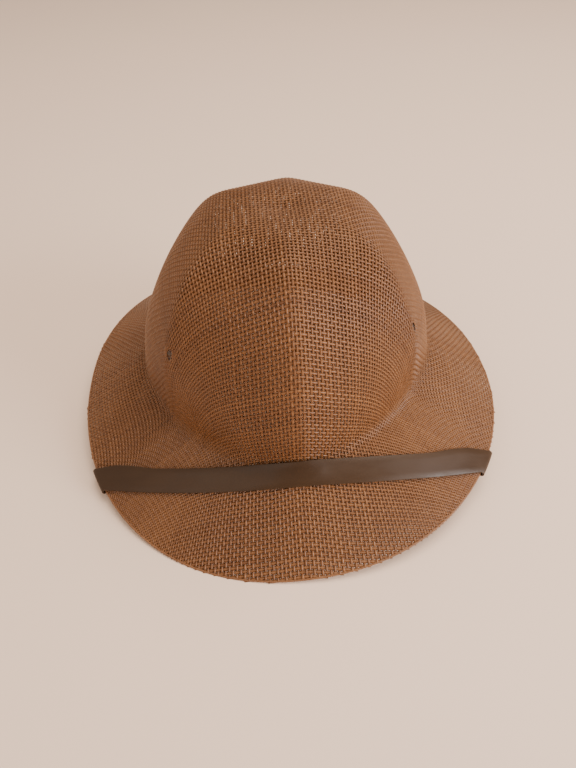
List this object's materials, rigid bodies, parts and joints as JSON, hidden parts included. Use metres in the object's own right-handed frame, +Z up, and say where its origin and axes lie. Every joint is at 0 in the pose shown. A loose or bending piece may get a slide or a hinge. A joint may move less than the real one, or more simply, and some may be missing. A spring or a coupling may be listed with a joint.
{
  "type": "pith helmet",
  "caption": "Mesh sun helmet: a stiff one-piece domed crown with moulded ridges and side vent slits, a sloping oval brim and a flat chin strap laid over the brim's front",
  "frame": {"origin": "the middle of the hat's bounding box in plan, on the surface the brim's edge rests on", "axes": "+Z up through the crown, the front of the hat towards -Y, +X to its left-hand wearer side"},
  "size_m": [0.28, 0.311, 0.1534],
  "materials": {
    "weave": "stiffened open plain weave of flat tan-brown strands, dry with a faint sheen",
    "vinyl": "dark olive-brown vinyl, satin"
  },
  "bodies": {
    "root": {"helmet_shell": "weave", "chin_strap": "vinyl"}
  },
  "joints": []
}
